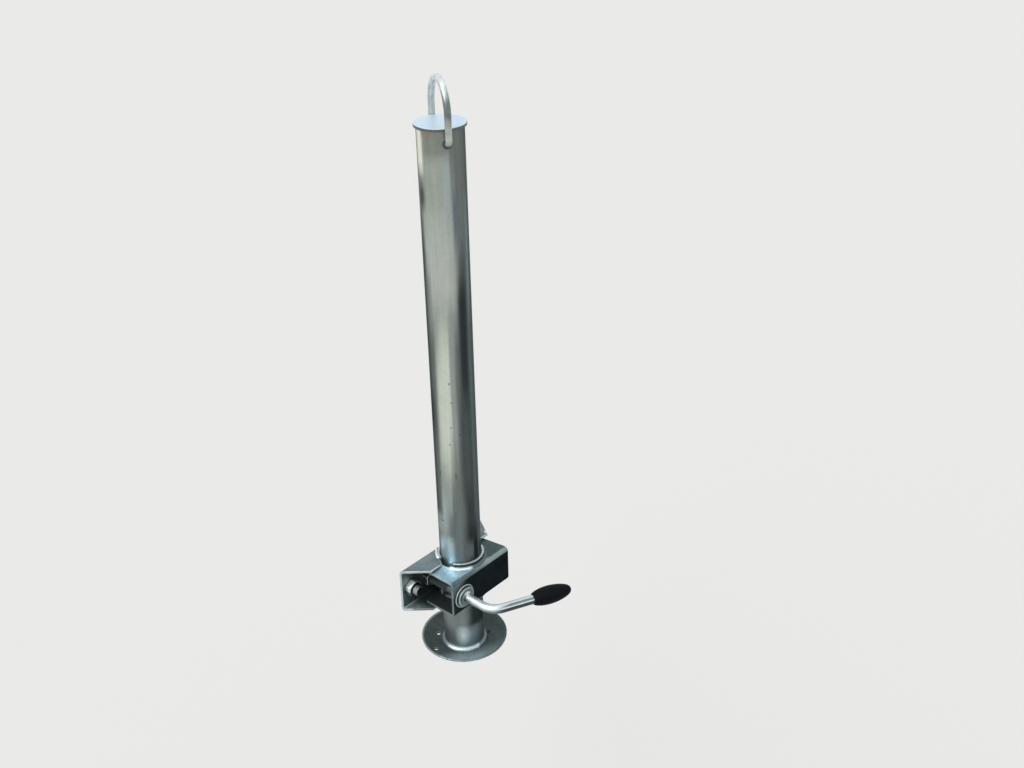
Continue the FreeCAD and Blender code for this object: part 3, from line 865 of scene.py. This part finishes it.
def bracket_zinc(c):
    """The folded bracket and its cheeks: a painted sky reflection on top, painted light and shade
    in the channel, painted highlights on the cut edges.
    """
    paint = Paint("bracket_zinc")
    out, side, up = paint.axes()
    # Painted sky reflection on the top flange.
    top = paint.blend(side.eased(-68, -48), tone(108, 123, 127), tone(121, 136, 140))
    paint.colour = paint.blend(up.eased(26.5, 28), c.sheet, top)
    # Painted shade on the web's inner face: darker low down and beyond the near end.
    web = out.eased(6, 3.2) * up.eased(26, 25) * out.eased(1, 2)
    inner = paint.blend(up.eased(-4, 12), tone(92, 105, 108), tone(118, 129, 125))
    paint.coat(web, paint.blend(side.eased(-62, -52), inner, tone(84, 95, 95)))
    # Painted light near the open end of the lower flange, painted shade further in.
    channel = up.eased(-22, -24.8) * up.eased(-28, -27)
    under = paint.blend(side.eased(-62, -46), tone(176, 192, 196), tone(92, 102, 104))
    paint.coat(channel, under)
    # A painted highlight at the near end of the lower flange.
    paint.coat(paint.spot((8, -71, -25.4), (9, 6.5, 3.5), 0.8), tone(214, 224, 224))
    # Painted highlights on the cut edges, greyer low down at the near end.
    low = up.eased(-22, -25) * side.eased(-69, -63)
    paint.coat(paint.highlit() * 0.9, paint.blend(low, c.cut, tone(124, 136, 137)))
    # A painted highlight on the far cheek's corner.
    paint.coat(paint.spot((25, 48.5, 28.4), (4, 4, 3), 0.5), tone(228, 238, 236))
    return paint.zinc()


def jaw_zinc(c):
    """The jaw: a painted sky reflection on top, pale near the lever and dark beyond the leg;
    painted shade inside; a painted dark reflection on its front.
    """
    paint = Paint("jaw_zinc")
    out, side, up = paint.axes()
    side = side + paint.noise(70) * 6.0 - 3.0
    # Painted sky reflection on the top: pale at the near end, brightest beside the bead and dark
    # beyond the leg.
    top = paint.blend(side.eased(-42, -28), tone(154, 186, 201), tone(198, 230, 243))
    top = paint.blend(side.eased(2, 20), top, tone(80, 96, 99))
    # Painted shade on the inner face of the lower flange.
    inner = up.eased(-17, -19.5) * up.eased(-22.5, -21.2)
    paint.colour = paint.blend(inner, c.sheet, tone(74, 84, 83))
    paint.coat(up.eased(20.8, 23.3), top)
    # A painted highlight along the front fold, brighter towards the far end.
    fold = up.eased(23.75, 23.2) * up.eased(18, 20) * out.eased(54.5, 56.5)
    paint.coat(fold, paint.blend(side.eased(-26, 24), tone(97, 115, 122), tone(136, 152, 153)))
    # The front face: a painted dark reflection, painted light at the near end's upper part and
    # painted shade at its lower part.
    front = up.eased(19.8, 18.2) * out.eased(57.5, 59.5)
    near = side.eased(-24, -40) * up.eased(-4, 10)
    plate = paint.blend(near, c.front, tone(124, 139, 144))
    lower = side.eased(-12, -28) * up.eased(2, -10)
    paint.coat(front, paint.blend(lower, plate, tone(42, 49, 48)))
    # Painted highlights on the cut edges, brighter on the upper ones, and a painted glint on the
    # far top corner.
    ends = paint.blend(up.eased(20.5, 21.5), tone(126, 139, 139), tone(164, 179, 179))
    paint.coat(paint.highlit() * 0.8, ends)
    corner = paint.highlit() * side.eased(30, 38) * up.eased(17, 20)
    paint.coat(corner, tone(226, 236, 237))
    # The painted dark reflection on the front is also made more metallic.
    dark = front * (1 - near) * (1 - paint.highlit())
    return paint.zinc(0.7 + dark * 0.29)


def shell_zinc(c):
    """The clamp's shell: a painted highlight on its rim, painted shade on its walls."""
    paint = Paint("shell_zinc")
    # Painted shade on the walls, with tone that differs at random.
    wall = paint.blend(paint.noise(120), tone(44, 52, 53), tone(72, 83, 84))
    # A painted highlight on the marked rim.
    paint.colour = paint.blend(paint.highlit(), wall, tone(200, 214, 216))
    return paint.zinc()


# Each pale or dark strip on the tube, painted reflections and painted shade: its azimuth, half
# width and soft edge in degrees, its lowest and highest place and fade in millimetres, and its
# tone.
STRIPS = (
    (-124, 8, 17, -20, 435, 34, (90, 99, 97)),
    (-63, 36, 16, 335, 482, 42, (181, 188, 181)),
    (-71, 7, 21, 145, 312, 51, (205, 213, 200)),
    (-61, 9, 10, 189, 324, 51, (204, 212, 200)),
    (-77, 9, 12, 53, 131, 29, (175, 188, 185)),
    (-54, 10, 25, -50, 106, 37, (109, 120, 121)),
    (-89, 10, 26, 30, 58, 8, (190, 213, 217)),
    (-78, 37, 14, 447, 600, 49, (161, 168, 160)),
    (-37, 5, 5, 438, 515, 21, (164, 175, 175)),
    (-109, 5, 15, 494, 600, 9, (249, 252, 233)),
    (-10, 4, 21, 75, 396, 48, (48, 55, 57)),
    (-13, 9, 15, 117, 247, 38, (78, 86, 86)),
    (-1, 11, 31, -20, 81, 34, (38, 45, 46)),
    (-18, 5, 10, 410, 489, 33, (105, 117, 121)),
    (29, 13, 11, -100, 411, 35, (96, 107, 108)),
    (74, 14, 12, -100, 600, 40, (150, 157, 150)),
    (104, 7, 10, -60, 600, 40, (66, 74, 78)),
    (-152, 8, 12, 40, 600, 40, (146, 152, 144)),
    (-186, 10, 14, -100, 520, 40, (76, 84, 86)),
    (-121, 9, 20, 208, 243, 32, (64, 69, 68)),
    (-41, 2, 10, 169, 345, 35, (150, 160, 158)),
    (15, 1, 9, 353, 464, 41, (131, 146, 149)),
    (-105, 3, 13, 351, 381, 38, (117, 125, 120)),
    (-45, 180, 30, -110, -68, 8, (142, 153, 155)),
    (2, 14, 34, -72, -30, 9, (44, 51, 52)),
    # A darker ring where the clamp grips: partly scuffs, partly painted shade.
    (-60, 180, 30, -22, 20, 12, (100, 108, 108)),
    (-60, 22, 14, 508, 600, 10, (136, 141, 134)),
    (-108, 12, 10, 62, 92, 12, (164, 175, 173)),
    (-19, 8, 10, 30, 56, 10, (104, 112, 113)),
)
# Each nick or scratch: its azimuth in degrees, and its place, half width and half height in
# millimetres.
NICKS = (
    (-53.7, 264, 1.3, 1.9), (-50.7, 241, 1.0, 1.5), (-53.9, 210, 1.1, 1.6),
    (-96.6, 208, 1.1, 1.5), (-32.3, 200.6, 1.0, 1.4), (-4.7, 198.6, 1.2, 1.6),
    (-59.6, 188.4, 1.0, 1.4), (-93.8, 148, 0.7, 6.0), (-47.3, 148, 0.7, 6.5),
    (-99, 84, 7.5, 0.8), (-106, 470, 7.0, 20.0), (92, 330, 1.4, 2.0),
    (128, 205, 1.1, 1.6), (160, 288, 1.2, 1.8), (171, 120, 0.8, 6.0),
)


def tube_zinc(c):
    """Zinc on drawn tube: long pale and dark strips of painted reflection and painted shade, with
    nicks, scratches and scuffs, painted shadows round the bail's holes and a painted gleam low
    down.
    """
    paint = Paint("tube_zinc")
    front, right = paint.round_leg()
    waver = paint.noise(7, (1, 1, 0.5), 2.0, 0.5) * 14.0 - 7.0
    streaks = paint.noise(110, (1, 1, 0.03), 2.0, 0.5) * 12.0 - 6.0
    turn = right.maths("ARCTAN2", right, front) * (180 / math.pi) - 45.0 + waver + streaks
    up = paint.along((0, 0, 1)) + paint.noise(22) * 36.0 - 18.0
    # Painted light: lighter and bluer below the clamp.
    paint.colour = paint.blend(up.eased(10, -20), tone(112, 119, 115), tone(136, 147, 147))
    for azimuth, half, soft, low, high, fade, level in STRIPS:
        away = turn.maths("ABSOLUTE", turn - azimuth, 0.0)
        mask = away.eased(half + soft, half) * up.eased(low - fade, low + fade)
        mask = mask * up.eased(high + fade, high - fade)
        paint.coat(mask, tone(*level))

    def at(azimuth, z):
        a = math.radians(azimuth)
        return (LEG_CENTRE[0] + TUBE_R / MM * math.cos(a), TUBE_R / MM * math.sin(a), z)

    worn = paint.noise(60, (1, 1, 2)).between(0.45, 0.65)
    brown = paint.spot(at(-85, 537), (18, 18, 9), 0.7) * worn
    paint.coat(brown * 0.7, tone(148, 132, 104))
    # Painted shadows round the bail's holes.
    for azimuth in (BAIL_TURN, BAIL_TURN + 180):
        paint.coat(paint.spot(at(azimuth, 524.9), (5.8,) * 3, 0.35), tone(66, 74, 75))
    dark = None
    for azimuth, z, wide, high in NICKS:
        mark = paint.spot(at(azimuth, z), (wide, wide, high), 0.7)
        dark = mark if dark is None else dark.over(mark)
    paint.coat(dark * 0.75, tone(58, 60, 56))
    # A painted gleam low on the tube, above the foot.
    for azimuth, wide, level in ((-24, 19.0, (158, 176, 181)), (-50, 10.5, (246, 254, 255))):
        paint.coat(paint.spot(at(azimuth, -79.0), (wide, wide, 17), 1.0), tone(*level))
    clouds = paint.noise(75, (1, 1, 0.5), 4.0, 0.6)
    crystals = paint.cells(560, (1, 1, 0.6))
    level = (clouds * 0.75 + crystals * 0.25).between(0.30, 0.68)
    drawn = paint.noise(260, (1, 1, 0.02), 2.0, 0.5).between(0.3, 0.7)
    paint.shade(level * 0.10 + drawn * 0.14 + 0.88)
    fine = paint.noise(520, (1, 1, 0.12), 2.0, 0.5)
    return paint.finish(0.42 - level * 0.08 + dark * 0.2, 0.88,
                        paint.bump(fine - dark * 0.6, 0.12), Specular_Tint=EDGE_TINT)


def foot_zinc(c):
    """The foot plate: darkened as painted shade, with painted light towards the front, painted
    light and shade on the rim, a painted highlight on the rim and a painted shadow beside the
    tube.
    """
    paint = Paint("foot_zinc")
    flat = paint.stretched((1 / MM, 1 / MM, 0), (LEG_X, 0, 0))
    outward = paint.vector("LENGTH", {0: flat}, "Value")
    front, side = paint.round_leg()
    front = front + side * 0.25
    clouds = paint.clouds(30, 4.0)
    dish = paint.blend(clouds, c.foot, tone(72, 84, 83))
    # Painted light towards the front; bluer towards the side.
    dish = paint.blend(front.eased(18, 48), dish, tone(158, 178, 184))
    dish = paint.blend(side.eased(22, 46) * 0.6, dish, tone(78, 94, 96))
    # The rim: painted light on one side, painted shade on the other.
    rim_tone = paint.blend(side.eased(0, 40), tone(140, 155, 158), tone(84, 100, 102))
    paint.colour = paint.blend(outward.eased(48.5, 50.6), dish, rim_tone)
    # A painted highlight on the rim, broken up by noise.
    glint_breakup = paint.noise(190).between(0.50, 0.60)
    paint.coat(paint.spot((41, -48.5, -94), (13, 7, 7), 0.6) * glint_breakup, tone(205, 217, 219))
    # A painted shadow beside the tube.
    paint.coat(paint.spot((45, 22.5, -98), (4.5, 8.5, 4), 0.7), tone(22, 28, 30))
    # A faint painted highlight on the rounded rim.
    paint.coat(paint.highlit() * 0.35, tone(150, 164, 166))
    return paint.zinc(0.55, 0.46, 0.16)


def weld_zinc(c):
    """Zinc over a weld bead, with painted highlights on one side and painted shade on the other.
    """
    paint = Paint("weld_zinc")
    front, side = paint.round_leg()
    up = paint.along((0, 0, 1))
    # Painted highlight on one side of the clamp's beads, painted shade on the other.
    lit_and_shaded = paint.blend(side.eased(9, 15), tone(224, 238, 242), tone(92, 110, 115))
    # A painted highlight on the front of the foot's bead.
    on_foot = side.eased(-24, -12) * side.eased(19, 15.5) * front.eased(4, 12)
    foot = paint.blend(on_foot, tone(116, 131, 134), tone(200, 215, 219))
    paint.colour = paint.blend(up.eased(-60, -50), foot, lit_and_shaded)
    return paint.zinc(0.7, 0.32, 0.12, 0.14)


def plated_steel(c):
    """Bright zinc plating on the lever, with painted reflections in lines along its top and
    painted shade on its underside, at its root and on the thread.
    """
    paint = Paint("plated_steel")
    out, _, up = paint.axes()
    beyond = out.eased(108, 118)
    # Painted reflection along the arm: a bright top edge, a darker band and a bright line.
    sheen = paint.blend(up.eased(4.9, 5.25), tone(106, 120, 126), tone(206, 218, 222))
    line = up.eased(3.7, 3.1) * up.eased(2, 2.4)
    sheen = paint.blend(line, sheen, tone(222, 232, 235))
    # Painted shade near the rod's root.
    root = out.eased(84, 72) * up.eased(4.5, 1)
    lit_and_shaded = paint.blend(root, c.plated, tone(132, 144, 146))
    upper = paint.blend(beyond, lit_and_shaded, sheen)
    # Painted shade on the thread inside the clamp.
    thread = out.eased(56, 50)
    upper = paint.blend(thread, upper, tone(96, 105, 105))
    # Painted shade on the underside.
    low = up.eased(2.6, -1.6) * (1 - beyond) + up.eased(2.3, 1.5) * beyond
    under = paint.blend(beyond, tone(112, 124, 125), c.shade)
    paint.colour = paint.blend(low, upper, under)
    level = paint.clouds(120)
    paint.shade(level * 0.16 + 0.90)
    return paint.plating(0.27 + level * 0.06 + thread * 0.15, 0.85, 1400, 0.05)


def turned_zinc(c):
    """Darker plating on washer, collar, nuts and pin, with painted highlights on their edges and
    a painted glint on the collar.
    """
    paint = Paint("turned_zinc")
    level = paint.clouds(160)
    collar = paint.along((1, 0, 0)).eased(63.9, 64.2)
    face = paint.blend(level, tone(86, 99, 99), tone(101, 115, 115))
    face = paint.blend(collar, face, tone(106, 121, 122))
    # Painted highlights on the marked edges.
    paint.colour = paint.blend(paint.highlit(), face, tone(188, 202, 204))
    # A painted glint on the collar, above the rod.
    gleam = paint.spot((69.5, SCREW_Y / MM, 6.5), (3.5, 5, 3.5), 0.6)
    paint.coat(gleam, tone(226, 237, 237))
    return paint.plating(0.34 + level * 0.08, 0.8, 1200)


def bolt_zinc(c):
    """The mounting nuts and bolt ends: painted light above, painted shade below, on the nut's
    front and on the bolt's end.
    """
    paint = Paint("bolt_zinc")
    out, _, up = paint.axes()
    # Painted light on the upper flats, painted shade on the lower ones and on the nut's front.
    flats = paint.blend(up.eased(-2, 1), tone(84, 92, 91), tone(226, 236, 236))
    paint.colour = paint.blend(out.eased(11.2, 11.5), flats, tone(34, 40, 40))
    # Painted light on the bolt end's top, painted shade below it and on its end face.
    stub = paint.blend(up.eased(-4, 1.5), tone(74, 80, 80), tone(176, 180, 180))
    paint.coat(out.eased(12, 12.8), stub)
    paint.coat(out.eased(18, 18.5), tone(48, 54, 54))
    paint.coat(out.eased(1.4, 0.8), tone(126, 136, 136))
    level = paint.clouds(160)
    paint.shade(level * 0.4 + 0.75)
    return paint.plating(0.32 + level * 0.08, 0.8, 1200)


def bail_zinc(c):
    """The bail: a painted highlight above, painted shade down its far side, grey where it enters
    the tube.
    """
    paint = Paint("bail_zinc")
    side = paint.along(direction(math.radians(BAIL_TURN)), LEG_CENTRE)
    up = paint.along((0, 0, 1)) + paint.noise(80) * 10.0 - 5.0
    # Painted shade down the far leg, and a painted highlight over the top.
    legs = paint.blend(side.eased(-6, 14), tone(190, 198, 199), tone(122, 133, 130))
    paint.colour = paint.blend(up.eased(566, 582), legs, tone(216, 229, 227))
    paint.coat(up.eased(556, 544), tone(186, 193, 185))
    level = paint.clouds(140)
    paint.shade(level * 0.28 + 0.80)
    return paint.plating(0.26 + level * 0.1, 0.85, 900)


def cap_zinc(c):
    """The pressed cap: a pale painted sky reflection on top, painted shade round its side."""
    paint = Paint("cap_zinc")
    up = paint.along((0, 0, 1))
    clouds = paint.noise(45).between(0.3, 0.7)
    # Painted sky reflection on the top, painted shade round the side.
    top = paint.blend(clouds, c.cap, tone(206, 228, 245))
    paint.colour = paint.blend(up.eased(540.3, 540.88), tone(96, 107, 105), top)
    fine = paint.noise(600, detail=2.0)
    return paint.finish(0.38 + clouds * 0.1, 0.55, paint.bump(fine, 0.06))


def black_grip(c):
    """Matte moulded plastic with a fine grain."""
    paint = Paint("black_grip")
    clouds = paint.noise(150)
    paint.colour = paint.blend(clouds, c.grip, tuple(x * 1.8 for x in c.grip))
    grain = paint.noise(1600, detail=2.0)
    return paint.finish(0.52 + clouds * 0.12, 0.0, paint.bump(grain, 0.2),
                        Specular_IOR_Level=0.06)


# What each finish is for: solids, what stands for them, or the slot of a piece without a solid.
FINISHES = {
    bracket_zinc: ("mounting_bracket", "near_cheek", "far_cheek"),
    jaw_zinc: ("clamp_jaw",),
    shell_zinc: ("clamp_shell",),
    tube_zinc: ("leg_tube",),
    foot_zinc: ("foot_plate",),
    weld_zinc: ("shell_weld_top", "shell_weld_bottom", "foot_weld", "weld"),
    plated_steel: ("lever_rod",),
    turned_zinc: ("hinge_pin", "screw_nut", "thrust_washer", "lever_collar"),
    bolt_zinc: ("bright_zinc",),
    bail_zinc: ("bail",),
    cap_zinc: ("end_cap",),
    black_grip: ("lever_grip",),
}


class PROPSTAND_OT_finishes(bpy.types.Operator):
    """Give every solid and piece its finish"""
    bl_idname = "prop_stand.finishes"
    bl_label = "Finishes"

    def execute(self, context):
        finish_of = {}
        for make, names in FINISHES.items():
            finish_of.update(dict.fromkeys(names, make(context.scene.prop_stand_colours)))
        for name, solid in frame["nodes"].items():
            dress(solid, finish_of[name])
        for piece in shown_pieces():
            if "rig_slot" in piece and "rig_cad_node" not in piece:
                dress(piece, finish_of[piece.get("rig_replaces", [piece["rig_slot"]])[0]])
        return {"FINISHED"}


def dress(piece, material):
    piece.data.materials.clear()
    piece.data.materials.append(material)


class PROPSTAND_OT_stage(bpy.types.Operator):
    """Lay the floor, hang the lights and set the camera"""
    bl_idname = "prop_stand.stage"
    bl_label = "Stage"

    def execute(self, context):
        s = context.scene.prop_stand_stage
        floor = add_piece("floor", bpy.ops.mesh.primitive_plane_add, size=80.0,
                          location=(0, 0, -s.drop))
        paint = Paint("floor_paint")
        paint.colour = paint.blend(paint.seen(), FLOOR_SHOWN, s.floor)
        dress(floor, paint.finish(0.9, 0.0, Specular_IOR_Level=0.0))
        floor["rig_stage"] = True
        self.light(context, s)
        self.sky(context, s)
        self.camera(context, s)
        context.scene.view_settings.view_transform = "Standard"
        return {"FINISHED"}

    def light(self, context, s):
        # Spread, azimuth and height are in degrees.
        for name, strength, spread, azimuth, height in (
                ("key_light", s.key, 50.0, -100.0, 46.0),
                ("top_light", s.key * 0.35, 70.0, -20.0, 76.0)):
            lamp = bpy.data.lights.new(name, "SUN")
            lamp.energy = strength
            lamp.angle = math.radians(spread)
            lantern = bpy.data.objects.new(name, lamp)
            context.scene.collection.objects.link(lantern)
            toward = direction(math.radians(azimuth), math.radians(height))
            lantern.rotation_euler = toward.to_track_quat("Z", "Y").to_euler()

    def sky(self, context, s):
        context.scene.world = bpy.data.worlds.new("even_sky")
        paint = Paint("even_sky", context.scene.world)
        strength = paint.node("ShaderNodeMix", {"data_type": "FLOAT"}, {
            0: paint.seen(), 2: s.fill, 3: SKY_SHOWN})
        backdrop = paint.tree.nodes["Background"].inputs
        paint.plug(backdrop["Strength"], strength)
        paint.plug(backdrop["Color"], (1.0, 1.0, 1.0, 1.0))

    def camera(self, context, s):
        turn, tilt, lean = map(math.radians, (CAMERA_TURN, CAMERA_TILT, CAMERA_LEAN))
        ahead = direction(turn + math.pi / 2, -tilt)
        right = ahead.cross(Vector((0, 0, 1))).normalized()
        up = right.cross(ahead)
        across = right * math.cos(lean) - up * math.sin(lean)
        upward = up * math.cos(lean) + right * math.sin(lean)
        camera = bpy.data.objects.new("camera", bpy.data.cameras.new("camera"))
        context.scene.collection.objects.link(camera)
        camera.data.lens = s.lens
        camera.data.sensor_width = 36.0
        camera.data.clip_end = 200.0
        facing = Matrix((across, upward, -ahead)).transposed()
        camera.matrix_world = Matrix.Translation(CAMERA_PLACE) @ facing.to_4x4()
        context.scene.camera = camera


class PROPSTAND_PT_pieces(bpy.types.Panel):
    """Buttons and sizes for the prop stand's pieces"""
    bl_idname = "PROPSTAND_PT_pieces"
    bl_label = "Prop Stand"
    bl_space_type = "VIEW_3D"
    bl_region_type = "UI"
    bl_category = "Prop Stand"

    def draw(self, context):
        for group in SETTINGS:
            settings = getattr(context.scene, group)
            box = self.layout.box()
            for word in settings.__annotations__:
                box.prop(settings, word)
        for operator in OPERATORS:
            self.layout.operator(operator.bl_idname)


OPERATORS = (
    PROPSTAND_OT_lever_screw,
    PROPSTAND_OT_lever_grip,
    PROPSTAND_OT_mount_fasteners,
    PROPSTAND_OT_rounded_edges,
    PROPSTAND_OT_weld_beads,
    PROPSTAND_OT_finishes,
    PROPSTAND_OT_stage,
)
SETTINGS = {
    "prop_stand_screw": ScrewSizes,
    "prop_stand_grip": GripSizes,
    "prop_stand_fasteners": FastenerSizes,
    "prop_stand_edges": EdgeSizes,
    "prop_stand_welds": WeldSizes,
    "prop_stand_colours": ZincColours,
    "prop_stand_stage": StageSettings,
}


def register():
    for group, kind in SETTINGS.items():
        bpy.utils.register_class(kind)
        setattr(bpy.types.Scene, group, bpy.props.PointerProperty(type=kind))
    for kind in (*OPERATORS, PROPSTAND_PT_pieces):
        bpy.utils.register_class(kind)


def unregister():
    for kind in (PROPSTAND_PT_pieces, *reversed(OPERATORS)):
        bpy.utils.unregister_class(kind)
    for group, kind in SETTINGS.items():
        delattr(bpy.types.Scene, group)
        bpy.utils.unregister_class(kind)


def main():
    register()
    for operator in OPERATORS:
        getattr(bpy.ops.prop_stand, operator.bl_idname.split(".")[1])()


if __name__ == "__main__":
    main()
